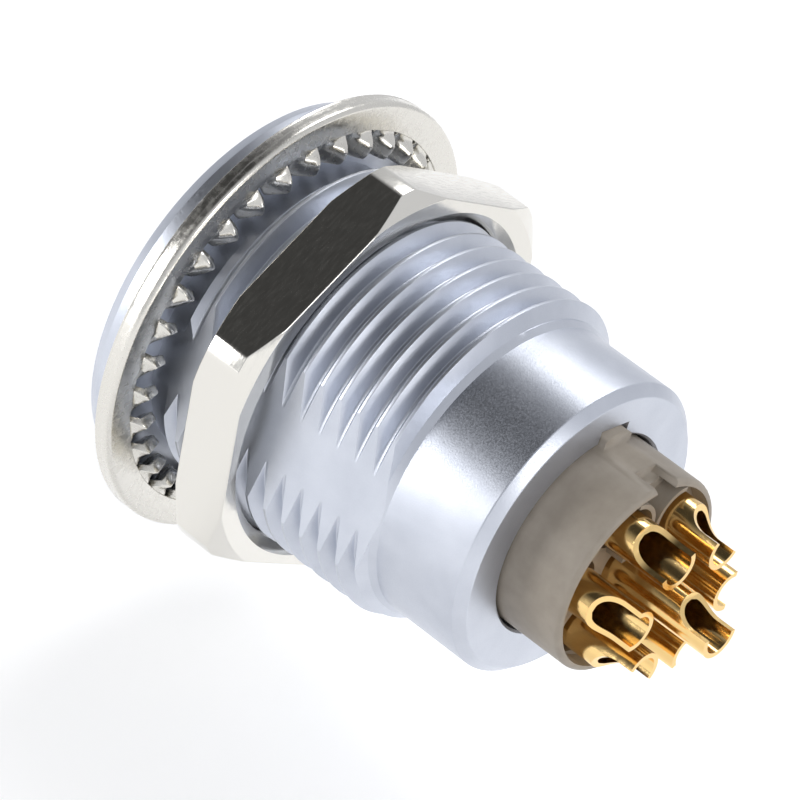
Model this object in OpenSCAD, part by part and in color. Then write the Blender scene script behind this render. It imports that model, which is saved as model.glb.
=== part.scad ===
// Push-pull circular connector, panel receptacle with seven solder contacts.
// The shell's axis lies along Y: the mating mouth faces -Y, the solder cups face +Y,
// and the key stands at the top, +Z. The origin is on the axis, in the plane of the
// flange's rear face, which is the face that meets the panel.
// Inside the modules a piece is drawn along +Z, with z = 0 in that same plane.

/* [Flange] */
// Radius of the flange
flange_r = 9; // [8.6:0.1:9.6]
// Thickness of the flange
flange_t = 1.5; // [1.2:0.1:2.2]
// Width of the bevel on the flange's front rim, measured along the face
flange_bevel_w = 0.25; // [0.1:0.05:0.5]
// Height of the same bevel, measured along the axis
flange_bevel_h = 0.5; // [0.2:0.05:0.8]

/* [Shell thread] */
// Major radius of the thread
thread_r = 7.5; // [7.4:0.05:7.8]
// Pitch of the thread
pitch = 1; // [0.75:0.25:1.25]
// Distance from the panel face to the end of the thread
thread_end = 11.9; // [10.5:0.1:12.5]
// Distance from the middle of the last groove to the end of the thread
last_groove = 0.43; // [0.4:0.01:0.7]
// Length of the bevel that ends the thread
thread_bevel = 0.3; // [0.2:0.05:0.4]
// Length of the plain relief behind the flange
relief_l = 0.9; // [0.5:0.1:1.4]
// Distance across the two flats
flats_w = 13.5; // [13.3:0.1:14]

/* [Shell barrel] */
// Radius of the plain barrel behind the thread
barrel_r = 6.7; // [6.4:0.05:6.8]
// Length of the tapered neck between the thread's bevel and the barrel
neck_l = 0.3; // [0.2:0.05:0.6]
// Distance from the panel face to the rear end of the barrel
barrel_end = 17; // [16:0.1:18]
// Width of the bevel on the barrel's rear rim
barrel_bevel = 0.42; // [0.2:0.02:0.6]

/* [Shell bore] */
// Radius of the bore that takes the plug
bore_r = 5.95; // [5.8:0.05:6.1]
// Depth of that bore behind the panel face
bore_depth = 9.3; // [8.5:0.1:10]
// Width of the bevel round the mouth
mouth_bevel = 0.35; // [0.1:0.05:0.6]
// Distance from the panel face to the latch groove
latch_z = 2.4; // [2:0.1:3.5]
// Width of the latch groove
latch_w = 1.3; // [1:0.1:1.8]
// Depth of the latch groove
latch_depth = 0.4; // [0.2:0.05:0.45]
// Width of the keyway in the plug bore
keyway_w = 1.9; // [1.4:0.1:2.4]
// Depth of the keyway beyond the bore
keyway_depth = 0.45; // [0.3:0.05:0.5]

/* [Insulator] */
// Radius of the island that faces the plug
island_r = 4.5; // [4.3:0.05:4.6]
// Distance from the panel face to the island's face
island_z = 2.5; // [1:0.1:3]
// Bevel round the island's face and round each pin's way in
island_bevel = 0.3; // [0.1:0.05:0.5]
// Radius of the collar that holds the insulator in the shell
collar_r = 5.4; // [5.25:0.05:5.5]
// Length of the collar
collar_l = 3.9; // [3:0.1:4.5]
// Radius of the rear body
insulator_r = 4.45; // [4.4:0.05:4.6]
// Distance from the panel face to the insulator's rear end
insulator_end = 20.1; // [19.5:0.1:21]
// Radius of the rounding on the rear rim
insulator_round = 0.22; // [0.1:0.02:0.28]
// Radius of the recess in the rear face
recess_r = 4.16; // [4:0.02:4.24]
// Depth of the recess in the rear face
recess_depth = 0.85; // [0.5:0.05:1.2]
// Width of the locating tab
tab_w = 1.6; // [1.2:0.1:2]
// Height of the tab above the rear body
tab_h = 0.68; // [0.5:0.02:0.75]
// Length of the tab that stands out behind the shell
tab_out = 0.3; // [0.1:0.05:0.6]
// Wall of the lips round the two contact holes beside the key
lip_wall = 0.2; // [0.1:0.02:0.3]
// Radius of the finger notch in the rear rim
notch_r = 0.72; // [0.5:0.02:0.8]
// Depth of the finger notch
notch_depth = 1.25; // [1:0.05:1.5]

/* [Contacts] */
// Radius of the ring of contacts
ring_r = 2.9; // [2.7:0.05:3.1]
// Radius of a contact's body and solder cup
contact_r = 0.93; // [0.85:0.01:1.05]
// Radius of the solder cup's bore
cup_bore_r = 0.7; // [0.55:0.01:0.75]
// Distance from the panel face to the ends of the ring's cups
cup_end = 22.6; // [22:0.1:23.5]
// Extra reach of the middle contact's cup
middle_reach = 1.9; // [0:0.1:2.5]
// Depth of the cup's bore from its end
cup_depth = 4.4; // [3.5:0.1:5]
// Length of the flat part of the cup's opening
cup_flat_l = 0.75; // [0.4:0.05:1.2]
// Radius of the scoop at the opening's root
scoop_r = 1.15; // [1:0.05:1.5]
// Height of the opening's flat above the contact's axis
cup_flat_h = 0.1; // [0:0.02:0.2]
// Radius of the socket's bore, for a pin of 1.3 mm
socket_r = 0.66; // [0.55:0.01:0.72]
// Depth of the socket
socket_depth = 6; // [5:0.1:7]
// Length of the slots that make the socket springy
slot_l = 4.2; // [3:0.1:5]
// Width of those slots
slot_w = 0.22; // [0.15:0.01:0.3]
// Distance from the island's face to the socket's front end
socket_set = 0.7; // [0.5:0.05:1]
// Radius of the retaining shoulder
shoulder_r = 1.15; // [1.1:0.01:1.25]
// Length of the retaining shoulder
shoulder_l = 2.2; // [1.5:0.1:3]
// Distance from the collar's front to the retaining shoulder
shoulder_set = 1.7; // [1:0.1:2.5]

/* [Earthing crown] */
// Number of spring fingers
finger_count = 8; // [6:1:12]
// Width of the slots between the fingers
finger_gap = 0.8; // [0.4:0.1:1.2]
// Length of the fingers
finger_l = 2.6; // [2:0.1:3]
// How far the fingers lean in towards the island
finger_lean = 0.4; // [0.2:0.05:0.5]
// Thickness of the crown's sheet
crown_t = 0.25; // [0.2:0.01:0.3]
// Length of the crown's foot ring
crown_foot_l = 1.2; // [0.8:0.1:1.6]
// Length of the lips at the fingers' tips, which turn out again
crown_lip_l = 0.5; // [0.3:0.05:0.8]

/* [Retaining ring] */
// Thickness of the retaining ring
ring_t = 0.8; // [0.6:0.05:1.1]

/* [Lock washer] */
// Width of the washer's rim, from the roots of its teeth out to its edge
washer_rim_w = 1.23; // [0.9:0.01:1.6]
// Thickness of the washer's rim
washer_t = 0.78; // [0.6:0.02:1]
// Rounding of the rim's stamped edge
washer_round = 0.22; // [0.1:0.02:0.28]
// Number of teeth
tooth_count = 33; // [24:1:36]
// Length of a tooth
tooth_l = 1.15; // [0.8:0.05:1.25]
// Width of a tooth
tooth_w = 1.3; // [0.9:0.05:1.3]
// Width of a tooth at its tip
tooth_tip_w = 1.06; // [0.7:0.02:1.1]
// Thickness of a tooth's blade
tooth_t = 0.3; // [0.2:0.02:0.4]
// Twist of a tooth at its tip, in degrees
tooth_twist = 42; // [20:1:45]

/* [Nut] */
// Distance across the nut's flats
nut_af = 17; // [16.8:0.1:18]
// Radius to which the corners are turned down
nut_corner_r = 9.6; // [9.4:0.05:9.75]
// How far the end faces reach beyond the flats
nut_face_out = 0.35; // [0.1:0.05:0.6]
// Thickness of the nut
nut_t = 2.6; // [2:0.1:3.5]
// Distance from the panel face to the nut
nut_z = 3.4; // [2:0.1:5]
// Angle at which the nut has stopped, in degrees
nut_angle = 9.4; // [0:0.1:60]
// Width of the bevel at each end of the nut's bore
nut_mouth = 0.5; // [0.2:0.05:0.6]

/* [Clearances] */
// Between the nut's bore and the thread's crests
nut_clear = 0.05; // [0.03:0.01:0.1]
// Between the tips of the washer's teeth and the thread's crests
washer_clear = 0.12; // [0.08:0.01:0.2]
// Between the washer and the flange
washer_seat = 0.02; // [0.01:0.01:0.05]
// Between the insulator's collar and the shell
collar_clear = 0.05; // [0.02:0.01:0.08]
// Between the insulator's rear body and the shell
rear_clear = 0.12; // [0.05:0.01:0.15]
// Between the tab and its slot, each side
tab_clear = 0.04; // [0.02:0.01:0.08]
// Between a contact and the insulator, or a ring and the bore
fit_clear = 0.02; // [0.01:0.01:0.04]
// Between a socket's bore and the pin's way in through the island's face
entry_clear = 0.08; // [0.04:0.01:0.12]

/* [Hidden] */
$fn = 96;

// Overlap that keeps a cutter clear of the face it breaks through
over = 0.1;
// Slope of a thread's flanks and of the bevel on the nut's corners
flank = 30;
// The metric thread form, as shares of the pitch
thread_depth = 0.63 * pitch;
crest_w = 0.14 * pitch;
// Contacts in the ring; contact_7 stands in the middle
ring_count = 6;
// Where the key, the tab and the finger notch stand round the axis
key_angle = 270;

collar_bore_r = collar_r + collar_clear;
collar_z = bore_depth;
collar_end = collar_z + collar_l;
rear_bore_r = insulator_r + rear_clear;
tab_r = insulator_r + tab_h;
tab_slot_r = tab_r + tab_clear;
tab_slot_w = tab_w + 2 * tab_clear;
tab_end = barrel_end + tab_out;
root_r = thread_r - thread_depth;
groove_half = (pitch - crest_w) / 2;
groove_root_half = groove_half - thread_depth * tan(flank);
neck_z = thread_end + thread_bevel;
socket_z = island_z + socket_set;
shoulder_z = collar_z + shoulder_set;
hole_r = shoulder_r + fit_clear;
entry_r = socket_r + entry_clear;
recess_z = insulator_end - recess_depth;
ring_z = bore_depth - ring_t;
crown_z = ring_z - crown_foot_l;
tooth_tip_r = thread_r + washer_clear;
washer_inner_r = tooth_tip_r + tooth_l;
washer_r = washer_inner_r + washer_rim_w;

silver = [0.73, 0.75, 0.8];
nickel = [0.8, 0.79, 0.75];
peek = [0.6, 0.54, 0.47];
gold = [0.86, 0.66, 0.32];

// Turns a piece drawn along +Z so that it lies along +Y with the key on top
module lay() {
    rotate([-90, 0, 0]) children();
}

// Ring or tube between two radii and two heights
module tube(inner, outer, from, to) {
    translate([0, 0, from]) difference() {
        cylinder(r = outer, h = to - from);
        translate([0, 0, -over]) cylinder(r = inner, h = to - from + 2 * over);
    }
}

// One annular groove of the thread, centred on z = 0
module thread_groove() {
    lip = thread_r + over;
    lip_half = groove_half + over * tan(flank);
    rotate_extrude() polygon([
        [root_r, -groove_root_half],
        [lip, -lip_half],
        [lip, lip_half],
        [root_r, groove_root_half]
    ]);
}

// Outside of the shell: flange, relief, thread crests, neck and barrel
module shell_blank() {
    rotate_extrude() polygon([
        [0, -flange_t],
        [flange_r - flange_bevel_w, -flange_t],
        [flange_r, -flange_t + flange_bevel_h],
        [flange_r, 0],
        [root_r, 0],
        [root_r, relief_l],
        [thread_r, relief_l + thread_depth * tan(flank)],
        [thread_r, thread_end],
        [root_r, neck_z],
        [barrel_r, neck_z + neck_l],
        [barrel_r, barrel_end - barrel_bevel],
        [barrel_r - barrel_bevel, barrel_end],
        [0, barrel_end]
    ]);
}

// Inside of the shell: plug bore, latch groove, collar seat and rear bore
module shell_bore() {
    edge = 0.1;
    rotate_extrude() polygon([
        [0, -flange_t - over],
        [bore_r + mouth_bevel + over, -flange_t - over],
        [bore_r, -flange_t + mouth_bevel],
        [bore_r, latch_z],
        [bore_r + latch_depth, latch_z + latch_depth],
        [bore_r + latch_depth, latch_z + latch_w],
        [bore_r, latch_z + latch_w],
        [bore_r, bore_depth],
        [collar_bore_r, bore_depth],
        [collar_bore_r, collar_end],
        [rear_bore_r, collar_end],
        [rear_bore_r, barrel_end - edge],
        [rear_bore_r + edge + over, barrel_end + over],
        [0, barrel_end + over]
    ]);
}

// Block that stands on the axis and reaches out to radius r towards the key
module key_block(w, r, from, to) {
    rotate(key_angle) translate([0, -w / 2, from]) cube([r, w, to - from]);
}

module outer_shell() {
    groove_z = thread_end - last_groove;
    last = floor((groove_z - relief_l) / pitch);
    color(silver) lay() difference() {
        shell_blank();
        shell_bore();
        for (i = [0 : last]) {
            translate([0, 0, groove_z - i * pitch]) thread_groove();
        }
        for (side = [0, 180]) {
            rotate(side) translate([flats_w / 2, -flange_r, 0])
                cube([flange_r, 2 * flange_r, neck_z + neck_l]);
        }
        key_block(keyway_w, bore_r + keyway_depth, -flange_t - over, bore_depth - ring_t);
        key_block(tab_slot_w, tab_slot_r, collar_end - over, barrel_end + over);
    }
}

// Flat rectangle across a tooth, turned about the tooth's own length
function tooth_section(r, w, t, twist, z) = [
    for (c = [[-1, -1], [1, -1], [1, 1], [-1, 1]])
        let (a = c[0] * w / 2, b = c[1] * t / 2)
        [r, a * cos(twist) - b * sin(twist), z + a * sin(twist) + b * cos(twist)]
];

// A tooth that leaves the rim flat and twists as it reaches in towards the thread.
// Its sections run from the root, sunk in the rim, to the tip.
module washer_tooth() {
    sunk = 0.25;
    flat_z = washer_t / 2;
    bent_z = (tooth_w * sin(tooth_twist) + tooth_t * cos(tooth_twist) + over) / 2;
    root_t = 0.7 * washer_t;
    neck_t = 1.2 * tooth_t;
    tip_t = 0.8 * tooth_t;
    // Each is the share of the tooth's length, its width, thickness, share of the twist and height
    stations = [
        [-sunk / tooth_l, tooth_w, root_t, 0, flat_z],
        [0, tooth_w, root_t, 0.2, flat_z],
        [0.3, tooth_w, neck_t, 0.75, bent_z],
        [0.7, tooth_w, tooth_t, 1, bent_z],
        [1, tooth_tip_w, tip_t, 1, bent_z]
    ];
    last = len(stations) - 1;
    polyhedron(
        points = [for (s = stations)
            each tooth_section(washer_inner_r - s[0] * tooth_l, s[1], s[2], s[3] * tooth_twist, s[4])],
        faces = concat(
            [[3, 2, 1, 0]],
            [for (i = [0 : last - 1], k = [0 : 3])
                let (a = 4 * i, n = (k + 1) % 4) each
                [[a + k, a + n, a + 4 + k], [a + n, a + 4 + n, a + 4 + k]]],
            [[4 * last, 4 * last + 1, 4 * last + 2, 4 * last + 3]]
        )
    );
}

module lock_washer() {
    color(nickel) lay() translate([0, 0, washer_seat]) {
        rotate_extrude() difference() {
            translate([washer_inner_r, 0]) square([washer_rim_w, washer_t]);
            translate([washer_r - washer_round, washer_t - washer_round]) difference() {
                square(washer_round + over);
                circle(washer_round);
            }
        }
        for (i = [0 : tooth_count - 1]) {
            rotate(i * 360 / tooth_count) washer_tooth();
        }
    }
}

module hex_nut() {
    sides = 6;
    half_side = 180 / sides;
    hex_r = nut_af / 2 / cos(half_side);
    face_r = nut_af / 2 + nut_face_out;
    bevel_h = (nut_corner_r - face_r) * tan(flank);
    hole = thread_r + nut_clear;
    color(nickel) lay() translate([0, 0, nut_z]) rotate(nut_angle) difference() {
        intersection() {
            rotate(half_side) cylinder(r = hex_r, h = nut_t, $fn = sides);
            rotate_extrude() polygon([
                [0, 0],
                [face_r, 0],
                [nut_corner_r, bevel_h],
                [nut_corner_r, nut_t - bevel_h],
                [face_r, nut_t],
                [0, nut_t]
            ]);
        }
        translate([0, 0, -over]) cylinder(r = hole, h = nut_t + 2 * over);
        for (end = [0, 1]) {
            translate([0, 0, end * nut_t]) mirror([0, 0, end])
                translate([0, 0, -over])
                cylinder(r1 = hole + nut_mouth + over, r2 = hole, h = nut_mouth + over);
        }
    }
}

// Place of contact i: the ring holds the first ones, and the last stands in the middle
function contact_place(i) = i > ring_count ? [0, 0] :
    let (a = (i - 1) * 360 / ring_count) [ring_r * cos(a), ring_r * sin(a)];

module insulator() {
    color(peek) lay() difference() {
        union() {
            rotate_extrude() insulator_profile();
            insulator_tab();
            insulator_lips();
        }
        for (i = [1 : ring_count + 1]) {
            translate(contact_place(i)) contact_hole();
        }
        rear_notch();
    }
}

// Half section of the turned insulator, with the rear recess already taken out
module insulator_profile() {
    difference() {
        union() {
            polygon([
                [0, island_z],
                [island_r - island_bevel, island_z],
                [island_r, island_z + island_bevel],
                [island_r, collar_z],
                [collar_r, collar_z],
                [collar_r, collar_end],
                [insulator_r, collar_end],
                [insulator_r, insulator_end - insulator_round],
                [insulator_r - insulator_round, insulator_end - insulator_round],
                [insulator_r - insulator_round, insulator_end],
                [0, insulator_end]
            ]);
            translate([insulator_r - insulator_round, insulator_end - insulator_round])
                intersection() {
                    circle(insulator_round);
                    square(insulator_round);
                }
        }
        translate([-over, recess_z]) square([recess_r + over, recess_depth + over]);
    }
}

// Hole through the insulator for one contact, from the pin's way in to the open rear
module contact_hole() {
    rotate_extrude() polygon([
        [0, island_z - over],
        [entry_r + island_bevel + over, island_z - over],
        [entry_r, island_z + island_bevel],
        [entry_r, socket_z],
        [contact_r + fit_clear, socket_z],
        [contact_r + fit_clear, shoulder_z],
        [hole_r, shoulder_z],
        [hole_r, insulator_end + over],
        [0, insulator_end + over]
    ]);
}

// Tab with a rounded top that lies in the shell's slot
module insulator_tab() {
    top_r = 0.75 * tab_w;
    intersection() {
        key_block(tab_w, tab_r, collar_end - over, tab_end);
        rotate(key_angle) translate([tab_r - top_r, 0, collar_end - over])
            cylinder(r = top_r, h = tab_end - collar_end + over);
    }
}

// Thin walls that stand round the two contact holes beside the key
module insulator_lips() {
    intersection() {
        for (i = [ring_count - 1, ring_count]) {
            translate(concat(contact_place(i), recess_z - over))
                cylinder(r = hole_r + lip_wall, h = recess_depth + over);
        }
        key_block(ring_r, recess_r + over, recess_z - over, insulator_end);
    }
}

// Scoop out of the rear rim, in line with the key
module rear_notch() {
    set_out = 0.15;
    rotate(key_angle) translate([insulator_r + set_out, 0, insulator_end - notch_depth])
        cylinder(r = notch_r, h = notch_depth + over);
}

// Slotted ring that earths the plug's sleeve, with fingers that lean inwards.
// The slots run on into the foot, so that the fingers bend in front of it.
module earthing_crown() {
    outer = bore_r - fit_clear;
    bent = outer - finger_lean;
    tip = outer - 0.25 * finger_lean;
    tip_z = crown_z - finger_l;
    slot_end = crown_z + 0.25 * crown_foot_l;
    half_gap = atan(finger_gap / 2 / bore_r);
    reach = bore_r + over;
    color(nickel) lay() difference() {
        rotate_extrude() polygon([
            [outer, ring_z],
            [outer, crown_z],
            [bent, tip_z + crown_lip_l],
            [tip, tip_z],
            [tip - crown_t, tip_z],
            [bent - crown_t, tip_z + crown_lip_l],
            [outer - crown_t, crown_z],
            [outer - crown_t, ring_z]
        ]);
        for (i = [0 : finger_count - 1]) {
            rotate((i + 0.5) * 360 / finger_count) translate([0, 0, tip_z - over])
                linear_extrude(slot_end - tip_z + over)
                polygon([[0, 0], [reach, -reach * tan(half_gap)], [reach, reach * tan(half_gap)]]);
        }
    }
}

// Plain ring that traps the insulator's collar against the shell's shoulder
module retaining_ring() {
    color(nickel) lay()
        tube(island_r + fit_clear, bore_r - fit_clear, ring_z, bore_depth);
}

// One contact: slotted socket, retaining shoulder, stem and scooped solder cup.
// The cup opens towards the angle given.
module contact(end_z, opening) {
    slot_z = socket_z + slot_l;
    flat_z = end_z - cup_flat_l;
    edge = 0.12;
    ramp = 0.2;
    rotate(opening) difference() {
        rotate_extrude() polygon([
            [0, socket_z],
            [contact_r - edge, socket_z],
            [contact_r, socket_z + edge],
            [contact_r, shoulder_z],
            [shoulder_r, shoulder_z],
            [shoulder_r, shoulder_z + shoulder_l],
            [contact_r, shoulder_z + shoulder_l + ramp],
            [contact_r, end_z],
            [0, end_z]
        ]);
        translate([0, 0, socket_z - over]) cylinder(r = socket_r, h = socket_depth + over);
        translate([0, 0, end_z - cup_depth]) cylinder(r = cup_bore_r, h = cup_depth + over);
        for (turn = [45, 135]) {
            rotate(turn) translate([-contact_r - over, -slot_w / 2, socket_z - over])
                cube([2 * (contact_r + over), slot_w, slot_z - socket_z + over]);
        }
        translate([cup_flat_h, -contact_r - over, flat_z])
            cube([contact_r + over, 2 * (contact_r + over), cup_flat_l + over]);
        translate([cup_flat_h + scoop_r, 0, flat_z]) rotate([90, 0, 0])
            cylinder(r = scoop_r, h = 2 * (contact_r + over), center = true);
    }
}

// Contacts 1 to 6 stand in the ring and open outwards; the middle one opens to the key
module numbered_contact(i) {
    middle = i > ring_count;
    color(gold) lay() translate(contact_place(i))
        contact(
            middle ? cup_end + middle_reach : cup_end,
            middle ? key_angle : (i - 1) * 360 / ring_count
        );
}

outer_shell();
lock_washer();
hex_nut();
insulator();
retaining_ring();
earthing_crown();
for (i = [1 : ring_count + 1]) {
    numbered_contact(i);
}
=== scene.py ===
# Push-pull circular connector: the shell, lock washer, nut and contacts are built here in
# millimetres along +Z, then laid along +Y in metres over the CAD frame; the insulator and inner
# rings are merged CAD copies.
import math
import bmesh
import bpy
import numpy as np
from mathutils import Matrix, Vector


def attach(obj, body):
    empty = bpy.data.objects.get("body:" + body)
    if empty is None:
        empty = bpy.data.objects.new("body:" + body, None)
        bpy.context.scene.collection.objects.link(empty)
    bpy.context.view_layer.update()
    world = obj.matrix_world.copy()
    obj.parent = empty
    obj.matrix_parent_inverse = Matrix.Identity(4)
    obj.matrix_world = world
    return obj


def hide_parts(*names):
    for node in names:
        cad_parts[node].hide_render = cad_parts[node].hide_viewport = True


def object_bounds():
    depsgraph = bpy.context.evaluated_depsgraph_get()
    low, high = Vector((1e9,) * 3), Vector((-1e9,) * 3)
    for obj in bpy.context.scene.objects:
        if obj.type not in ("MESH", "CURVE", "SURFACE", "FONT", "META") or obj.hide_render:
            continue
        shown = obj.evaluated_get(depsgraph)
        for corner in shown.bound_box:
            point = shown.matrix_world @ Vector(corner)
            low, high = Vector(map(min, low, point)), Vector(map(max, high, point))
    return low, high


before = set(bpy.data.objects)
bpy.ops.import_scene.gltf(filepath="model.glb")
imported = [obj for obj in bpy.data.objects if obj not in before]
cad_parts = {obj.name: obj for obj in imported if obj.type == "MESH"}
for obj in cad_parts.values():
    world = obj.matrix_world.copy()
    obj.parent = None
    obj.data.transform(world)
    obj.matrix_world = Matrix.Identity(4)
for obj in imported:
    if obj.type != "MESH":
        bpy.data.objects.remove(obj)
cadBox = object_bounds()
print("stage: frame loaded")

# shared helpers


def lay(points):
    # (x, y, z) in mm along +Z becomes (x, z, -y) in metres, so the key comes to the top
    return np.stack([points[..., 0], points[..., 2], -points[..., 1]], axis=-1) * 0.001


def roundedPath(corners, steps=4):
    # each corner is (radius, height, fillet): the fillet is an exact arc, drawn as a
    # rational quadratic whose middle weight is the cosine of half the turn
    points = [corners[0][:2]]
    for before, here, after in zip(corners, corners[1:], corners[2:]):
        corner = np.array(here[:2], float)
        if not here[2]:
            points.append(tuple(corner))
            continue
        back = np.array(before[:2]) - corner
        ahead = np.array(after[:2]) - corner
        back, ahead = back / np.hypot(*back), ahead / np.hypot(*ahead)
        half = math.acos(np.clip(back @ ahead, -1, 1)) / 2
        reach = here[2] / math.tan(half)
        weight = math.sin(half)
        s = np.linspace(0, 1, steps + 1)[:, None]
        top = (1 - s) ** 2 * (corner + back * reach) + 2 * weight * s * (1 - s) * corner \
            + s ** 2 * (corner + ahead * reach)
        points.extend(map(tuple, top / ((1 - s) ** 2 + 2 * weight * s * (1 - s) + s ** 2)))
    points.append(corners[-1][:2])
    return np.array(points, float)


def polar(radius, angle, height):
    # cylindrical coordinates, angle in degrees, to a grid of points
    radius, angle, height = np.broadcast_arrays(radius, np.radians(angle), height)
    return np.stack([radius * np.cos(angle), radius * np.sin(angle), height], axis=-1)


def revolve(path, steps=144, start=0.0, turn=360.0):
    # a profile of (radius, height) carried round the axis
    angle = np.linspace(start, start + turn, steps + 1)
    return polar(path[:, :1], angle[None, :], path[:, 1:])


def blendMin(a, b, soft):
    # the smaller of two values, rounded where they cross
    return 0.5 * (a + b - np.sqrt((a - b) ** 2 + soft ** 2))


def buildMesh(name, patches, sharp):
    # every patch is a grid of points; its quads join their neighbours where edges meet
    points, faces, first = [], [], 0
    for patch in patches:
        rows, cols = patch.shape[:2]
        r, c = np.arange(rows - 1)[:, None] * cols, np.arange(cols - 1)[None, :]
        corner = (r + c + first).reshape(-1)
        faces.append(np.stack([corner, corner + 1, corner + cols + 1, corner + cols], axis=1))
        points.append(lay(patch).reshape(-1, 3))
        first += rows * cols
    points, faces = np.concatenate(points), np.concatenate(faces)
    mesh = bpy.data.meshes.new(name)
    mesh.vertices.add(len(points))
    mesh.vertices.foreach_set("co", points.astype(np.float32).ravel())
    mesh.loops.add(faces.size)
    mesh.loops.foreach_set("vertex_index", faces.astype(np.int32).ravel())
    mesh.polygons.add(len(faces))
    mesh.polygons.foreach_set("loop_start", np.arange(0, faces.size, 4, dtype=np.int32))
    mesh.update(calc_edges=True)
    shape = bmesh.new()
    shape.from_mesh(mesh)
    bmesh.ops.remove_doubles(shape, verts=shape.verts, dist=0.6e-6)
    bmesh.ops.dissolve_degenerate(shape, edges=shape.edges, dist=0.2e-6)
    bmesh.ops.recalc_face_normals(shape, faces=shape.faces)
    shape.to_mesh(mesh)
    shape.free()
    mesh.polygons.foreach_set("use_smooth", np.ones(len(mesh.polygons), bool))
    mesh.set_sharp_from_angle(angle=math.radians(sharp))
    return mesh


def addPiece(name, patches, material, body, nodes, sharp):
    # sharp is the angle in degrees past which an edge stays crisp
    piece = bpy.data.objects.new(name, buildMesh(name, patches, sharp))
    bpy.context.scene.collection.objects.link(piece)
    piece.data.materials.append(material)
    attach(piece, body)
    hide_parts(*nodes)
    print("stage:", name, len(piece.data.polygons), "faces")
    return piece


# camera and light

cameraView = {
    "aim": (-0.0024, 0.0056, -0.0017),   # the point that the camera looks at
    "azimuth": 32.9,                     # degrees round Z, from +X
    "elevation": 31.39,
    "roll": 17.95,
    "distance": 0.2428,
    "lens": 270,
}


def placeCamera(view):
    # the eye stands on a sphere round the aim, and the picture is rolled about the view line
    azimuth, elevation, roll = (math.radians(view[k]) for k in ("azimuth", "elevation", "roll"))
    back = Vector((math.cos(elevation) * math.cos(azimuth),
                   math.cos(elevation) * math.sin(azimuth), math.sin(elevation)))
    level = Vector((-math.sin(azimuth), math.cos(azimuth), 0))
    upright = back.cross(level)
    right = math.cos(roll) * level + math.sin(roll) * upright
    eye = Vector(view["aim"]) + view["distance"] * back
    camera = bpy.data.objects.new("camera", bpy.data.cameras.new("camera"))
    camera.data.lens = view["lens"]
    camera.data.sensor_width = 36
    camera.data.clip_start = 0.01
    axes = Matrix((right, back.cross(right), back)).transposed().to_4x4()
    camera.matrix_world = Matrix.Translation(eye) @ axes
    bpy.context.scene.collection.objects.link(camera)
    bpy.context.scene.camera = camera


placeCamera(cameraView)

studio = {
    "floorSize": 0.6,
    "floorDrop": 0.004,
    "floorGlow": 0.42,                      # lifts the floor to white for the camera and gloss
    "lamps": [
        # name, place, size, watts, colour
        ("lampLeft", (0.26, -0.20, 0.06), 0.14, 0.40, (1.0, 1.0, 1.0)),
        ("lampTop", (-0.16, -0.06, 0.26), 0.14, 0.22, (1.0, 1.0, 1.0)),
        ("lampRear", (0.05, 0.34, 0.14), 0.12, 0.22, (1.0, 0.99, 0.97)),
    ],
    "darkToward": (0.373, -0.464, 0.805),   # a dark screen stands in this direction
    "darkSteps": [(0.0, (0.72, 0.73, 0.76)), (0.60, (0.56, 0.57, 0.59)),
                  (0.86, (0.20, 0.20, 0.21)), (0.95, (0.05, 0.05, 0.05))],
}


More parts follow.
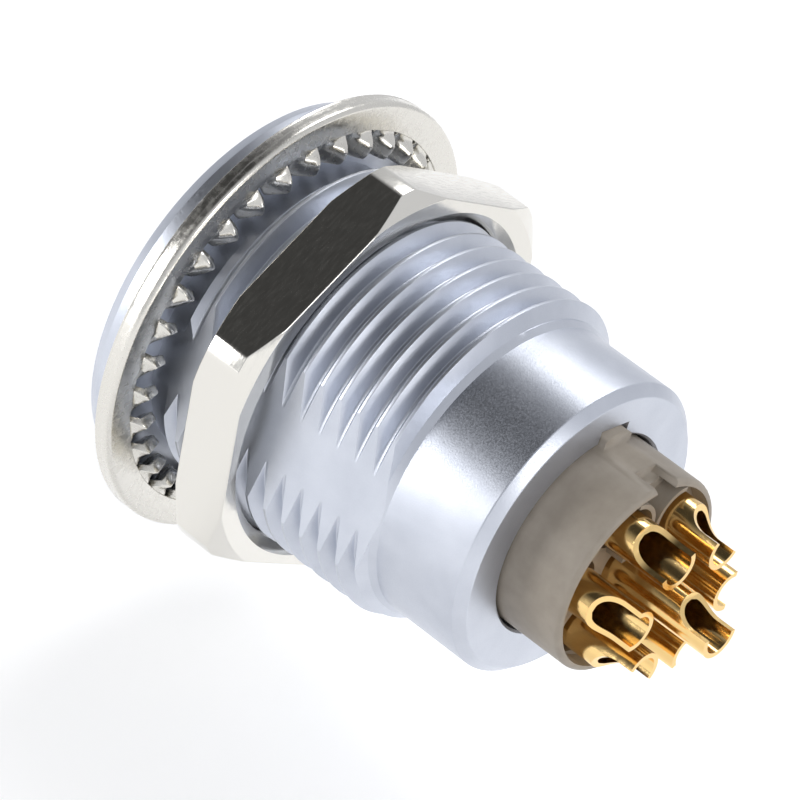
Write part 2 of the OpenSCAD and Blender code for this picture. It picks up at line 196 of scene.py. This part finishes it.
def setStudio(values):
    # a pale room with one dark screen, a floor that holds the shadow, and three soft lamps
    scene = bpy.context.scene
    scene.view_settings.view_transform = "Standard"
    world = bpy.data.worlds.new("paleRoom")
    scene.world = world
    world.use_nodes = True
    nodes, links = world.node_tree.nodes, world.node_tree.links
    nodes.clear()
    out = nodes.new("ShaderNodeOutputWorld")
    room = nodes.new("ShaderNodeBackground")
    backdrop = nodes.new("ShaderNodeBackground")
    backdrop.inputs["Color"].default_value = (1, 1, 1, 1)
    backdrop.inputs["Strength"].default_value = 1.0
    mix = nodes.new("ShaderNodeMixShader")
    path = nodes.new("ShaderNodeLightPath")
    place = nodes.new("ShaderNodeTexCoord")
    toward = nodes.new("ShaderNodeVectorMath")
    toward.operation = "DOT_PRODUCT"
    toward.inputs[1].default_value = values["darkToward"]
    ramp = nodes.new("ShaderNodeValToRGB")
    steps = values["darkSteps"]
    while len(ramp.color_ramp.elements) < len(steps):
        ramp.color_ramp.elements.new(0.5)
    for element, (position, tint) in zip(ramp.color_ramp.elements, steps):
        element.position = position
        element.color = (*tint, 1)
    links.new(place.outputs["Generated"], toward.inputs[0])
    links.new(toward.outputs["Value"], ramp.inputs[0])
    links.new(ramp.outputs[0], room.inputs["Color"])
    links.new(path.outputs["Is Camera Ray"], mix.inputs[0])
    links.new(room.outputs[0], mix.inputs[1])
    links.new(backdrop.outputs[0], mix.inputs[2])
    links.new(mix.outputs[0], out.inputs[0])
    low = cadBox[0][2] - values["floorDrop"]
    half = values["floorSize"] / 2
    floorMesh = bpy.data.meshes.new("floor")
    floorMesh.from_pydata([(-half, -half, low), (half, -half, low), (half, half, low),
                           (-half, half, low)], [], [(0, 1, 2, 3)])
    floor = bpy.data.objects.new("floor", floorMesh)
    scene.collection.objects.link(floor)
    paint = bpy.data.materials.new("floorPaint")
    paint.use_nodes = True
    base = paint.node_tree.nodes["Principled BSDF"]
    base.inputs["Base Color"].default_value = (0.9, 0.9, 0.9, 1)
    base.inputs["Roughness"].default_value = 0.9
    tree = paint.node_tree
    glow = tree.nodes.new("ShaderNodeEmission")
    glow.inputs["Strength"].default_value = values["floorGlow"]
    seen = tree.nodes.new("ShaderNodeLightPath")
    dark = tree.nodes.new("ShaderNodeEmission")
    dark.inputs["Strength"].default_value = 0
    choice = tree.nodes.new("ShaderNodeMixShader")
    total = tree.nodes.new("ShaderNodeAddShader")
    either = tree.nodes.new("ShaderNodeMath")
    either.operation = "MAXIMUM"
    tree.links.new(seen.outputs["Is Camera Ray"], either.inputs[0])
    tree.links.new(seen.outputs["Is Glossy Ray"], either.inputs[1])
    tree.links.new(either.outputs[0], choice.inputs[0])
    tree.links.new(dark.outputs[0], choice.inputs[1])
    tree.links.new(glow.outputs[0], choice.inputs[2])
    tree.links.new(base.outputs[0], total.inputs[0])
    tree.links.new(choice.outputs[0], total.inputs[1])
    tree.links.new(total.outputs[0], tree.nodes["Material Output"].inputs["Surface"])
    floorMesh.materials.append(paint)
    for name, spot, size, watts, tint in values["lamps"]:
        light = bpy.data.lights.new(name, "AREA")
        light.shape = "DISK"
        light.size = size
        light.energy = watts
        light.color = tint
        lamp = bpy.data.objects.new(name, light)
        lamp.location = spot
        aim = Vector((0, 0.01, 0)) - Vector(spot)
        lamp.rotation_euler = aim.to_track_quat("-Z", "Y").to_euler()
        scene.collection.objects.link(lamp)


setStudio(studio)
print("stage: camera and light")

# materials


def newMaterial(name, color, metallic, roughness):
    material = bpy.data.materials.new(name)
    material.use_nodes = True
    shader = material.node_tree.nodes["Principled BSDF"]
    shader.inputs["Base Color"].default_value = (*color, 1)
    shader.inputs["Metallic"].default_value = metallic
    shader.inputs["Roughness"].default_value = roughness
    return material


def addNoise(material, size, detail=2.0, stretch=(1, 1, 1)):
    # noise on Object coordinates; size is the width of a grain in millimetres
    nodes, links = material.node_tree.nodes, material.node_tree.links
    place = nodes.new("ShaderNodeTexCoord")
    mapping = nodes.new("ShaderNodeMapping")
    mapping.inputs["Scale"].default_value = stretch
    noise = nodes.new("ShaderNodeTexNoise")
    noise.inputs["Scale"].default_value = 1000 / size
    noise.inputs["Detail"].default_value = detail
    links.new(place.outputs["Object"], mapping.inputs[0])
    links.new(mapping.outputs[0], noise.inputs["Vector"])
    return noise


def addRamp(material, source, low, high, socket, positions=(0.3, 0.7)):
    # maps a noise onto a range of colours or grey levels and feeds a socket of the shader
    nodes, links = material.node_tree.nodes, material.node_tree.links
    ramp = nodes.new("ShaderNodeValToRGB")
    for element, position, value in zip(ramp.color_ramp.elements, positions, (low, high)):
        element.position = position
        element.color = (*value, 1) if hasattr(value, "__len__") else (value, value, value, 1)
    links.new(source.outputs[0], ramp.inputs[0])
    shader = nodes["Principled BSDF"]
    links.new(ramp.outputs[0], shader.inputs[socket])


def addBump(material, source, depth, strength):
    # depth in millimetres
    nodes, links = material.node_tree.nodes, material.node_tree.links
    bump = nodes.new("ShaderNodeBump")
    bump.inputs["Strength"].default_value = strength
    bump.inputs["Distance"].default_value = depth * 0.001
    links.new(source.outputs[0], bump.inputs["Height"])
    links.new(bump.outputs[0], nodes["Principled BSDF"].inputs["Normal"])


def satinChrome():
    material = newMaterial("satinChrome", (0.60, 0.63, 0.70), 1.0, 0.38)
    grain = addNoise(material, 0.07, 2.0)
    cloud = addNoise(material, 1.6, 2.0)
    addRamp(material, cloud, (0.58, 0.61, 0.68), (0.64, 0.67, 0.74), "Base Color")
    addRamp(material, grain, 0.32, 0.46, "Roughness")
    addBump(material, grain, 0.006, 0.5)
    return material


def brightNickel():
    material = newMaterial("brightNickel", (0.78, 0.76, 0.71), 1.0, 0.16)
    scratch = addNoise(material, 0.5, 5.0, (1, 6, 1))
    addRamp(material, scratch, 0.10, 0.24, "Roughness")
    addBump(material, addNoise(material, 0.12, 3.0), 0.002, 0.3)
    return material


def washerNickel():
    material = newMaterial("washerNickel", (0.74, 0.72, 0.67), 1.0, 0.22)
    addRamp(material, addNoise(material, 0.3, 4.0), 0.16, 0.34, "Roughness")
    addBump(material, addNoise(material, 0.1, 3.0), 0.006, 0.5)
    return material


def innerNickel():
    material = newMaterial("innerNickel", (0.62, 0.60, 0.56), 1.0, 0.3)
    addRamp(material, addNoise(material, 0.2, 3.0), 0.22, 0.4, "Roughness")
    return material


def tanPlastic():
    material = newMaterial("tanPlastic", (0.36, 0.31, 0.25), 0.0, 0.5)
    addRamp(material, addNoise(material, 0.8, 4.0), (0.34, 0.295, 0.24), (0.40, 0.35, 0.29),
            "Base Color")
    addBump(material, addNoise(material, 0.06, 3.0), 0.004, 0.4)
    return material


def polishedGold():
    material = newMaterial("polishedGold", (0.95, 0.66, 0.28), 1.0, 0.15)
    addRamp(material, addNoise(material, 0.25, 4.0), 0.10, 0.22, "Roughness")
    addBump(material, addNoise(material, 0.09, 3.0), 0.002, 0.3)
    return material


finishes = {
    "shell": satinChrome(),
    "nut": brightNickel(),
    "washer": washerNickel(),
    "inner": innerNickel(),
    "plastic": tanPlastic(),
    "gold": polishedGold(),
}

# shell

thread = {
    "radius": 7.5,
    "pitch": 1.0,
    "start": 0.9,          # end of the plain relief behind the flange
    "end": 11.9,
    "bevel": 0.3,
    "groove": 0.47,        # height of a groove at angle 0
    "crest": 0.14,         # shares of the pitch
    "depth": 0.63,
    "crestFillet": 0.035,
    "rootFillet": 0.05,
}
thread["root"] = thread["radius"] - thread["depth"] * thread["pitch"]
slope = math.tan(math.radians(30))


def threadForm():
    # one pitch of the metric form from groove to groove, as (phase, radius), edges rounded
    grooveHalf = (1 - thread["crest"]) * thread["pitch"] / 2
    rootHalf = grooveHalf - thread["depth"] * thread["pitch"] * slope
    low, high, pitch = thread["root"], thread["radius"], thread["pitch"]
    root, crest = thread["rootFillet"], thread["crestFillet"]
    return roundedPath([
        (0, low, 0), (rootHalf, low, root), (grooveHalf, high, crest),
        (pitch - grooveHalf, high, crest), (pitch - rootHalf, low, root), (pitch, low, 0)])


def threadRadius(form, angle, height):
    # radius of the right-handed thread at an angle and height
    phase = (height - thread["pitch"] * angle / 360 - thread["groove"]) % thread["pitch"]
    return np.interp(phase, form[:, 0], form[:, 1])


def helixRows(form, low, high):
    # heights at angle 0 of the rows that follow the helix, from low to high
    turns = np.arange(math.floor(low) - 1, math.ceil(high) + 1) * thread["pitch"]
    rows = (turns[:, None] + thread["groove"] + form[None, :-1, 0]).ravel()
    return rows[(rows >= low) & (rows <= high)]


shell = {
    "flangeRadius": 9.0,
    "flangeThick": 1.5,
    "flangeBevel": (0.25, 0.5),    # width along the face, height along the axis
    "barrelRadius": 6.7,
    "neck": 0.3,
    "barrelEnd": 17.0,
    "barrelBevel": 0.42,
    "flat": 6.75,          # half the distance across the flats
    "bore": 5.95,
    "mouth": 0.35,
    "latch": (2.4, 3.7, 0.4),      # lower and upper height, depth
    "seat": (5.45, 9.3, 13.2),     # radius of the collar's seat, lower and upper height
    "rearBore": 4.57,
    "keyway": (6.4, 0.95, 8.5),    # reach, half width, height where it ends
    "tabSlot": (5.17, 0.84),       # reach, half width
    "keyAngle": 270.0,
    "edge": 0.05,
}


def blockReach(reach, half, angle):
    # outline of a straight-sided slot that runs out along the key's angle
    offset = np.abs((angle - shell["keyAngle"] + 180) % 360 - 180)
    across = np.radians(np.clip(offset, 0.01, 89))
    corner = math.atan2(half, reach)
    return np.where(across <= corner + 1e-9, reach / np.cos(across), half / np.sin(across))


def shellColumns():
    # angles from 90 to 450; inside 30 degrees of a flat's middle they slide with its crease
    keySteps = [math.degrees(math.atan2(shell["keyway"][1], shell["keyway"][0])),
                math.degrees(math.asin(shell["keyway"][1] / shell["bore"])),
                math.degrees(math.atan2(shell["tabSlot"][1], shell["tabSlot"][0])),
                math.degrees(math.asin(shell["tabSlot"][1] / shell["rearBore"]))]
    special = [shell["keyAngle"] + s * k for k in keySteps for s in (-1, 1)]
    plain = [a for a in np.arange(211.5, 330, 1.5)
             if min(abs(a - k) for k in special) > 0.25]
    between = np.sort(np.array(special + plain))
    inner = np.arange(0, 13) / 12
    outer = np.arange(1, 25) / 24
    slide = np.concatenate([inner, 1 - outer])
    fixed = np.concatenate([inner * 0, 30 * outer])
    middle, sign, share, base = [], [], [], []

    def put(m, s, a, b):
        middle.extend([m] * len(a))
        sign.extend([s] * len(a))
        share.extend(a)
        base.extend(b)

    lead, tail = np.arange(90, 150, 1.5), np.arange(391.5, 450.1, 1.5)
    put(0.0, 1, lead * 0, lead)
    put(180.0, -1, slide[:0:-1], fixed[:0:-1])
    put(180.0, 1, slide, fixed)
    put(0.0, 1, between * 0, between)
    put(360.0, -1, slide[:0:-1], fixed[:0:-1])
    put(360.0, 1, slide, fixed)
    put(0.0, 1, tail * 0, tail)
    return tuple(np.array(v, float)[None, :] for v in (middle, sign, share, base))


def flatLimit(radius, middle, angle):
    # inside a flat the surface is the plane; elsewhere the round form stays
    near = np.abs((angle + 90) % 180 - 90)
    plane = shell["flat"] / np.cos(np.radians(np.minimum(near, 60)))
    return np.minimum(radius, plane)


def crease(radius):
    # angle from a flat's middle to the edge where it meets a round surface
    return np.maximum(np.degrees(np.arccos(np.clip(shell["flat"] / radius, -1, 1))), 3.0)


def shellPatches():
    # a turned path is carried round all columns and cut by the flats, keyway and tab slot;
    # the thread is a second grid whose rows climb one pitch for each turn
    middle, sign, share, base = shellColumns()

    def place(creaseAngle):
        return middle + sign * (share * creaseAngle + base)

    # the turned path from the thread's end round the barrel, bore and flange to its start
    root, edge = thread["root"], shell["edge"]
    neck = thread["end"] + thread["bevel"]
    end, bevel, bore = shell["barrelEnd"], shell["barrelBevel"], shell["bore"]
    seatR, seatLow, seatHigh = shell["seat"]
    latchLow, latchHigh, latchDeep = shell["latch"]
    thick, (bevelW, bevelH) = shell["flangeThick"], shell["flangeBevel"]
    flange, keyEnd = shell["flangeRadius"], shell["keyway"][2]
    flatShare = (root - shell["flat"]) / (root - shell["barrelRadius"])
    corners = [
        (root, neck, 0, "flat"),
        (shell["flat"], neck + shell["neck"] * flatShare, 0, "flat"),
        (shell["barrelRadius"], neck + shell["neck"], 0, "flat"),
        (shell["barrelRadius"], end - bevel, 0.12, "plain"),
        (shell["barrelRadius"] - bevel, end, 0.12, "plain"),
        (shell["rearBore"] + 0.1, end, 0, "slot"),
        (shell["rearBore"], end - 0.1, 0, "slot"),
        (shell["rearBore"], seatHigh, 0, "slot"),
        (seatR, seatHigh, 0, "plain"),
        (seatR, seatLow, 0, "plain"),
        (bore, seatLow, 0, "plain"),
        (bore, keyEnd, 0, "plain"),
        (bore, keyEnd, 0, "keyway"),
        (bore, latchHigh, 0.03, "keyway"),
        (bore + latchDeep, latchHigh, 0.05, "keyway"),
        (bore + latchDeep, latchLow + latchDeep, 0.05, "keyway"),
        (bore, latchLow, 0.05, "keyway"),
        (bore, shell["mouth"] - thick, 0.06, "keyway"),
        (bore + shell["mouth"], -thick, 0.06, "keyway"),
        (flange - bevelW, -thick, edge, "plain"),
        (flange, -thick + bevelH, edge, "plain"),
        (flange, 0, 0.04, "plain"),
        (root, 0, 0, "flat"),
        (root, thread["start"], 0, "flat"),
    ]
    path = roundedPath([c[:3] for c in corners])
    cuts = []
    for i, c in enumerate(corners):
        cuts.extend([c[3]] * (5 if c[2] and 0 < i < len(corners) - 1 else 1))
    cuts = np.array(cuts)[:, None]
    radius, height = path[:, :1], path[:, 1:]
    angle = place(np.where(cuts == "flat", crease(radius), 10.0))
    keyway = blockReach(*shell["keyway"][:2], angle)
    tabSlot = blockReach(*shell["tabSlot"], angle)
    radius = np.where(cuts == "flat", flatLimit(radius, middle, angle), radius)
    radius = np.where(cuts == "keyway", np.maximum(radius, keyway), radius)
    radius = np.where(cuts == "slot", np.maximum(radius, tabSlot), radius)
    turned = polar(radius, angle, height)

    # the thread's rows follow the helix and are held between its two ends
    form = threadForm()
    rows = helixRows(form, -1.2, 13.0)[:, None]
    rise = thread["depth"] * thread["pitch"] * slope

    def helix(a):
        z = np.clip(rows + thread["pitch"] * a / 360, thread["start"], neck)
        envelope = np.interp(z, [thread["start"], thread["start"] + rise, thread["end"], neck],
                             [root, thread["radius"], thread["radius"], root])
        return np.minimum(threadRadius(form, a, z), envelope), z

    creaseAngle = np.full((len(rows), middle.shape[1]), 20.0)
    for _ in range(8):
        r, z = helix(middle + sign * creaseAngle)
        creaseAngle = crease(r)
    angle = place(creaseAngle)
    r, z = helix(angle)
    threaded = polar(flatLimit(r, middle, angle), angle, z)
    return [turned, threaded]


addPiece("shellBody", shellPatches(), finishes["shell"], "connector", ["outer_shell"],
         sharp=19)

# nut

nut = {
    "flats": 17.0,
    "turned": 9.6,         # radius to which the corners are turned
    "faceRadius": 8.85,
    "thick": 2.6,
    "low": 3.4,
    "angle": 9.4,
    "clear": 0.05,
    "minor": 6.96,
    "mouth": 8.05,
    "edge": 0.06,
}


def nutPatches():
    # the outline is the hexagon, rounded off by the turned radius; each rim is the inset
    # profile's corner plus a disc of the edge's radius, so every edge has the same fillet
    sector = np.concatenate([np.linspace(-30, -26, 9)[:-1], np.linspace(-26, 26, 31),
                             np.linspace(26, 30, 9)[1:-1]])
    angle = np.concatenate([sector + 60 * k for k in range(6)] + [[330.0]])
    across = (angle + 30) % 60 - 30
    outline = blendMin(nut["flats"] / 2 / np.cos(np.radians(across)), nut["turned"], 0.02)
    edge, face = nut["edge"], nut["faceRadius"]
    side = outline - edge
    inFace = np.minimum(face - edge * math.tan(math.radians(15)), side)
    inSide = np.maximum(((side - face) * 0.5 + edge) / math.cos(math.radians(30)), edge)
    tilt = np.radians([0, 10, 20, 30, 30, 45, 60, 75, 90])[:, None]
    upper = np.arange(9)[:, None] > 3
    rimR = np.where(upper, side, inFace) + edge * np.sin(tilt)
    rimZ = np.where(upper, inSide, edge) - edge * np.cos(tilt)
    turn = angle + nut["angle"]
    low, high = nut["low"], nut["low"] + nut["thick"]
    front = polar(rimR, turn, low + rimZ)
    rear = polar(rimR[::-1], turn, high - rimZ[::-1])
    rimLow = polar(np.full((1, len(turn)), nut["mouth"]), turn, low)
    rimHigh = polar(np.full((1, len(turn)), nut["mouth"]), turn, high)
    outside = np.concatenate([rimLow, front, rear, rimHigh])

    # the bore's thread has the shell's form with a little clearance, cut back at both mouths
    form = threadForm()
    rows = helixRows(form, low - 1.6, high + 0.4)[:, None]
    z = np.clip(rows + thread["pitch"] * turn / 360, low, high)
    cut = np.maximum(threadRadius(form, turn, z) + nut["clear"], nut["minor"])
    mouth = nut["mouth"] - np.minimum(z - low, high - z)
    inside = polar(np.maximum(cut, mouth), turn, z)
    return [outside, inside]


addPiece("hexNut", nutPatches(), finishes["nut"], "nut", ["hex_nut"], sharp=22)

# lock washer

washer = {
    "inner": 8.77,
    "outer": 10.0,
    "low": 0.02,
    "thick": 0.78,
    "round": 0.22,
    "teeth": 33,
    "toothLong": 1.15,
    "toothWide": 1.3,
    "tipWide": 1.06,
    "rootThick": 0.68,
    "tipThick": 0.42,
    "twist": -42.0,
    "sunk": 0.3,
}


def waves(angle, seed, count=10, top=60):
    # a smooth closed ripple round the ring, between -1 and 1
    draw = np.random.RandomState(seed)
    turns = draw.randint(3, top, count)
    phase = draw.rand(count) * 2 * math.pi
    size = 1 / np.sqrt(turns)
    total = sum(s * np.sin(t * np.radians(angle) + p) for s, t, p in zip(size, turns, phase))
    return total / np.sum(size)


def washerPatches():
    # a turned rim, and a tooth swept along the radius and repeated round it
    low, high = washer["low"], washer["low"] + washer["thick"]
    inner, outer = washer["inner"], washer["outer"]
    path = roundedPath([
        (inner, (low + high) / 2, 0), (inner, low, 0.04), (outer, low, 0.04),
        (outer, high, washer["round"]), (inner, high, 0.04), (inner, (low + high) / 2, 0)],
        steps=6)
    # the stamped side is filled with rows and torn back below a wavy line
    side = np.flatnonzero((path[:-1, 0] > outer - 1e-6) & (path[1:, 0] > outer - 1e-6))[0]
    fill = np.stack([np.full(12, outer), np.linspace(*path[side:side + 2, 1], 14)[1:-1]], 1)
    path = np.concatenate([path[:side + 1], fill, path[side + 1:]])
    angle = np.linspace(0, 360, 481)[None, :]
    radius, height = path[:, :1], path[:, 1:]
    line = low + 0.42 + 0.10 * waves(angle, 3)
    torn = np.clip((line - height) / 0.06, 0, 1) * (height > low + 0.045) * (radius > outer - 0.03)
    rough = 0.018 + 0.012 * waves(angle + 40 * height, 5, 16, 180)
    rim = polar(radius - torn * rough, angle, height)

    # each tooth is a rounded bar that twists about its own length as it reaches in:
    # thick where it leaves the rim and thin at its tip
    along = np.array([-1, -0.6, -0.3, -0.1, 0, 0.1, 0.2, 0.3, 0.42, 0.55, 0.7, 0.85, 0.95,
                      0.985, 1.0, 1.0])
    s = np.clip(along, 0, 1)
    ease = np.clip(s / 0.45, 0, 1)
    ease = ease * ease * (3 - 2 * ease)
    reach = np.where(along < 0, along * washer["sunk"], along * washer["toothLong"])
    wide = np.interp(s, [0, 0.6, 1], [washer["toothWide"]] * 2 + [washer["tipWide"]]) / 2
    thick = np.interp(s, [0, 0.35, 1], [washer["rootThick"], 0.56, washer["tipThick"]]) / 2
    shut = np.array([1] * 12 + [0.96, 0.88, 0.72, 0.0])
    twist = np.radians(washer["twist"] * ease)
    lift = (washer["toothWide"] * math.sin(math.radians(abs(washer["twist"]))) + 0.40) / 2
    middle = washer["thick"] / 2 + (lift - washer["thick"] / 2) * ease
    t = np.linspace(0, 2 * np.pi, 25)[None, :]
    power = 2 / 8
    u = np.sign(np.cos(t)) * np.abs(np.cos(t)) ** power * (wide * shut)[:, None]
    v = np.sign(np.sin(t)) * np.abs(np.sin(t)) ** power * (thick * shut)[:, None]
    c, n = np.cos(twist)[:, None], np.sin(twist)[:, None]
    x = (washer["inner"] - reach)[:, None] + 0 * u
    y = u * c - v * n
    z = low + middle[:, None] + u * n + v * c
    root = np.stack([x[0], 0 * x[0], np.full(25, z[0].mean())], axis=-1)[None]
    tooth = np.concatenate([root, np.stack([x, y, z], axis=-1)])
    teeth = []
    for k in range(washer["teeth"]):
        a = math.radians(360 * k / washer["teeth"])
        turned = tooth.copy()
        turned[..., 0] = tooth[..., 0] * math.cos(a) - tooth[..., 1] * math.sin(a)
        turned[..., 1] = tooth[..., 0] * math.sin(a) + tooth[..., 1] * math.cos(a)
        teeth.append(turned)
    return [rim] + teeth


addPiece("lockWasher", washerPatches(), finishes["washer"], "washer", ["lock_washer"],
         sharp=35)

# contacts

contact = {
    "ringRadius": 2.9,
    "count": 6,
    "radius": 0.93,
    "cupBore": 0.7,
    "cupEnd": 22.6,
    "middleReach": 1.9,
    "cupDepth": 4.4,
    "flatLong": 0.75,
    "flatHeight": 0.1,
    "scoop": 1.15,
    "socket": 0.66,
    "socketLow": 3.2,
    "socketDeep": 6.0,
    "slotLong": 4.2,
    "slotWide": 0.22,
    "shoulder": (1.15, 11.0, 2.2, 0.2),   # radius, height, length, length of its ramp
    "edge": 0.12,
}


def contactPatches(endZ, opening, spot):
    # a slotted socket, a shank with its shoulder, and a cup whose walls leave out the angle
    # where the radius times the cosine lies beyond the height of the cut
    radius, bore, socket = contact["radius"], contact["cupBore"], contact["socket"]
    low, slotEnd = contact["socketLow"], contact["socketLow"] + contact["slotLong"]
    half = [6, 2, 12, 2, 12, 2, 12, 2, 6]

    def columns(r):
        # the four slots have straight sides, so their angle depends on the radius
        gap = math.degrees(math.asin(contact["slotWide"] / 2 / max(r, socket)))
        stops = [0.0]
        for k in range(4):
            stops += [45 + 90 * k - gap, 45 + 90 * k + gap]
        stops.append(360.0)
        runs = [np.linspace(p, q, n + 1)[:-1] for p, q, n in zip(stops, stops[1:], half)]
        return np.concatenate(runs + [[360.0]])

    def wall(path, opened=None):
        # opened is the half angle left out round the opening's direction, one for each row
        grid = np.stack([columns(r) for r, _ in path])
        if opened is not None:
            grid = opened[:, None] + grid * (1 - opened[:, None] / 180)
        return polar(path[:, :1], grid, path[:, 1:])

    # the opening: a scoop, then a flat just above the axis; cutX is its height over the axis
    flatZ, centre = endZ - contact["flatLong"], contact["flatHeight"] + contact["scoop"]
    enter, pierce = (math.acos((centre - r) / contact["scoop"]) for r in (radius, bore))
    sweep = np.concatenate([np.linspace(enter, pierce, 7), np.linspace(pierce, 0, 15)[1:]])
    cutX = np.append(centre - contact["scoop"] * np.cos(sweep), contact["flatHeight"])
    cutZ = np.append(flatZ - contact["scoop"] * np.sin(sweep), endZ)
    openOut, openIn = (np.degrees(np.arccos(np.clip(cutX / r, -1, 1))) for r in (radius, bore))

    shoulderR, shoulderZ, shoulderLong, ramp = contact["shoulder"]
    shank = np.array([(radius, slotEnd), (radius, shoulderZ), (shoulderR, shoulderZ),
                      (shoulderR, shoulderZ + shoulderLong),
                      (radius, shoulderZ + shoulderLong + ramp), (radius, cutZ[0])])
    outer = wall(np.stack([np.full_like(cutZ, radius), cutZ], 1), openOut)
    inner = wall(np.stack([np.full_like(cutZ, bore), cutZ], 1), openIn)
    cup = np.array([(0, endZ - contact["cupDepth"]), (bore, endZ - contact["cupDepth"]),
                    (bore, cutZ[0])])
    tip = np.array([(socket, slotEnd), (socket, low), (radius - contact["edge"], low),
                    (radius, low + contact["edge"]), (radius, slotEnd)])
    front = wall(tip)
    well = np.array([(socket, slotEnd), (socket, low + contact["socketDeep"]),
                     (0, low + contact["socketDeep"])])
    patches = [wall(shank), outer, wall(cup), inner, np.stack([inner[-1], outer[-1]]),
               wall(well)]
    # the opening's two lips run between the outer and inner wall in the plane of the cut
    outY, inY = (np.sqrt(np.maximum(r * r - cutX ** 2, 0)) for r in (radius, bore))
    for side in (-1, 1):
        patches.append(np.stack([np.stack([cutX, side * y, cutZ], 1) for y in (outY, inY)], 1))
    start = 0
    for index, count in enumerate(half):
        stop = start + count
        if index % 2 == 0:
            patches.append(front[:, start:stop + 1])
        else:
            patches.append(np.stack([front[0, start:stop + 1], front[-1, start:stop + 1]]))
            for column in (start, stop):
                p = front[:, column]
                patches.append(np.stack([p[[0, 1, 1]], p[[4, 3, 2]]]))
        start = stop
    turn = math.radians(opening)
    placed = []
    for patch in patches:
        x, y = patch[..., 0], patch[..., 1]
        placed.append(np.stack([x * math.cos(turn) - y * math.sin(turn) + spot[0],
                                x * math.sin(turn) + y * math.cos(turn) + spot[1],
                                patch[..., 2]], axis=-1))
    return placed


for number in range(1, contact["count"] + 2):
    around = (number - 1) * 360 / contact["count"]
    if number > contact["count"]:
        pin = contactPatches(contact["cupEnd"] + contact["middleReach"], 270.0, (0, 0))
    else:
        pin = contactPatches(contact["cupEnd"], around,
                             (contact["ringRadius"] * math.cos(math.radians(around)),
                              contact["ringRadius"] * math.sin(math.radians(around))))
    addPiece(f"goldContact{number}", pin, finishes["gold"], "connector",
             [f"contact_{number}"], sharp=28)

# insulator and inner rings


def smoothTurned(name, node, finish):
    # a merged copy of a turned CAD piece, whose round faces are shaded smooth
    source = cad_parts[node]
    mesh = source.data.copy()
    shape = bmesh.new()
    shape.from_mesh(mesh)
    bmesh.ops.remove_doubles(shape, verts=shape.verts, dist=0.5e-6)
    bmesh.ops.dissolve_limit(shape, angle_limit=math.radians(0.5), verts=shape.verts,
                             edges=shape.edges)
    shape.to_mesh(mesh)
    shape.free()
    mesh.polygons.foreach_set("use_smooth", np.ones(len(mesh.polygons), bool))
    mesh.set_sharp_from_angle(angle=math.radians(32))
    mesh.materials.clear()
    mesh.materials.append(finish)
    piece = bpy.data.objects.new(name, mesh)
    bpy.context.scene.collection.objects.link(piece)
    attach(piece, "connector")
    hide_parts(node)
    print("stage:", name)
    return piece


smoothTurned("insulatorBody", "insulator", finishes["plastic"])
smoothTurned("retainingRing", "retaining_ring", finishes["inner"])
smoothTurned("earthingCrown", "earthing_crown", finishes["inner"])
